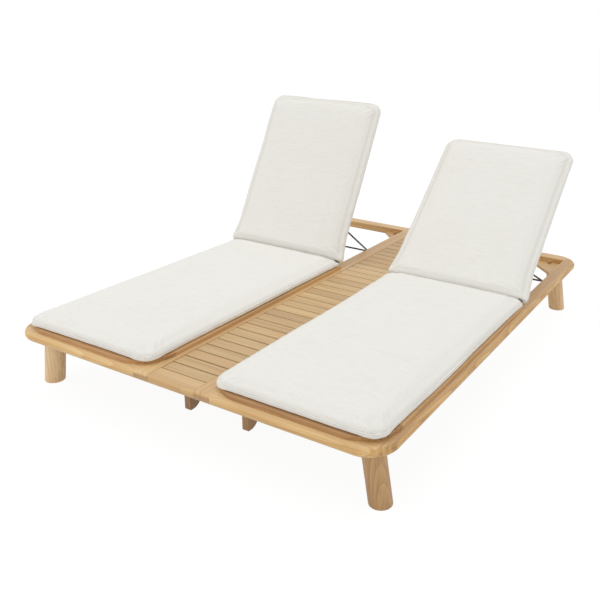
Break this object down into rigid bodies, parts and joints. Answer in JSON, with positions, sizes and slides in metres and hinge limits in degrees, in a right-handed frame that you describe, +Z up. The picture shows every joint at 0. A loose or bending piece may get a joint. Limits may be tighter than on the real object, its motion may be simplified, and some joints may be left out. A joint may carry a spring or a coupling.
{
  "type": "double chaise lounger",
  "caption": "Low timber frame with two reclining slatted loungers side by side, a slatted table between them, prop bails and two-part cushions.",
  "frame": {"origin": "on the floor under the middle of the frame", "axes": "+Z up, +Y towards the head end, +X to the right seen from the foot end"},
  "size_m": [1.57, 2, 0.9628],
  "materials": {
    "rail_wood": "oiled, smooth",
    "table_wood": "oiled, smooth",
    "leg_wood": "oiled, smooth",
    "panel_wood": "oiled, smooth",
    "hidden_wood": "oiled, smooth",
    "cushion_fabric": "slub weave",
    "prop_steel": "satin dark coating",
    "steel_hardware": "satin",
    "pad_rubber": "matt"
  },
  "bodies": {
    "frame": {"corner_gussets": "hidden_wood", "hinge_pins": "steel_hardware", "hinge_plates": "steel_hardware", "hinge_screws": "steel_hardware", "hinge_spacers": "pad_rubber", "left_centre_rail": "rail_wood", "left_front_centre_leg": "leg_wood", "left_front_leg": "leg_wood", "left_front_rail": "rail_wood", "left_head_rail": "rail_wood", "left_rear_centre_leg": "leg_wood", "left_rear_leg": "leg_wood", "left_seat_cushion": "cushion_fabric", "left_seat_front_member": "panel_wood", "left_seat_rear_member": "panel_wood", "left_seat_slats": "panel_wood", "left_seat_stiles": "panel_wood", "left_side_rail": "rail_wood", "leg_bolts": "steel_hardware", "prop_racks": "hidden_wood", "rest_pads": "pad_rubber", "right_centre_rail": "rail_wood", "right_front_centre_leg": "leg_wood", "right_front_leg": "leg_wood", "right_front_rail": "rail_wood", "right_head_rail": "rail_wood", "right_rear_centre_leg": "leg_wood", "right_rear_leg": "leg_wood", "right_seat_cushion": "cushion_fabric", "right_seat_front_member": "panel_wood", "right_seat_rear_member": "panel_wood", "right_seat_slats": "panel_wood", "right_seat_stiles": "panel_wood", "right_side_rail": "rail_wood", "table_bearers": "hidden_wood", "table_front_board": "table_wood", "table_head_board": "table_wood", "table_slats": "table_wood"},
    "left_backrest": {"left_back_stiles": "panel_wood", "left_back_bottom_rail": "panel_wood", "left_back_top_rail": "panel_wood", "left_back_slats": "panel_wood", "left_prop_brackets": "steel_hardware", "left_bracket_screws": "steel_hardware", "left_back_cushion": "cushion_fabric"},
    "left_prop": {"left_prop_bail": "prop_steel", "left_prop_clips": "steel_hardware"},
    "right_backrest": {"right_back_stiles": "panel_wood", "right_back_bottom_rail": "panel_wood", "right_back_top_rail": "panel_wood", "right_back_slats": "panel_wood", "right_prop_brackets": "steel_hardware", "right_bracket_screws": "steel_hardware", "right_back_cushion": "cushion_fabric"},
    "right_prop": {"right_prop_bail": "prop_steel", "right_prop_clips": "steel_hardware"}
  },
  "joints": [
    {"name": "left_back_hinge", "type": "hinge", "parent": "frame", "child": "left_backrest", "pos_m": [-0.4425, 0.233, 0.241], "axis": [1, 0, 0], "range_deg": [-61.7, 0]},
    {"name": "left_prop_pivot", "type": "hinge", "parent": "left_backrest", "child": "left_prop", "pos_m": [-0.4425, 0.33661, 0.39124], "axis": [1, 0, 0], "range_deg": [-0.5, 100.45]},
    {"name": "right_back_hinge", "type": "hinge", "parent": "frame", "child": "right_backrest", "pos_m": [0.4425, 0.233, 0.241], "axis": [1, 0, 0], "range_deg": [-42.4, 19.3]},
    {"name": "right_prop_pivot", "type": "hinge", "parent": "right_backrest", "child": "right_prop", "pos_m": [0.4425, 0.38044, 0.34855], "axis": [1, 0, 0], "range_deg": [-31.77, 69.19]}
  ],
  "couplings": [
    {"joint": "left_prop_pivot", "follows": "left_back_hinge", "ratio": -1.62},
    {"joint": "right_prop_pivot", "follows": "right_back_hinge", "ratio": -1.62}
  ]
}
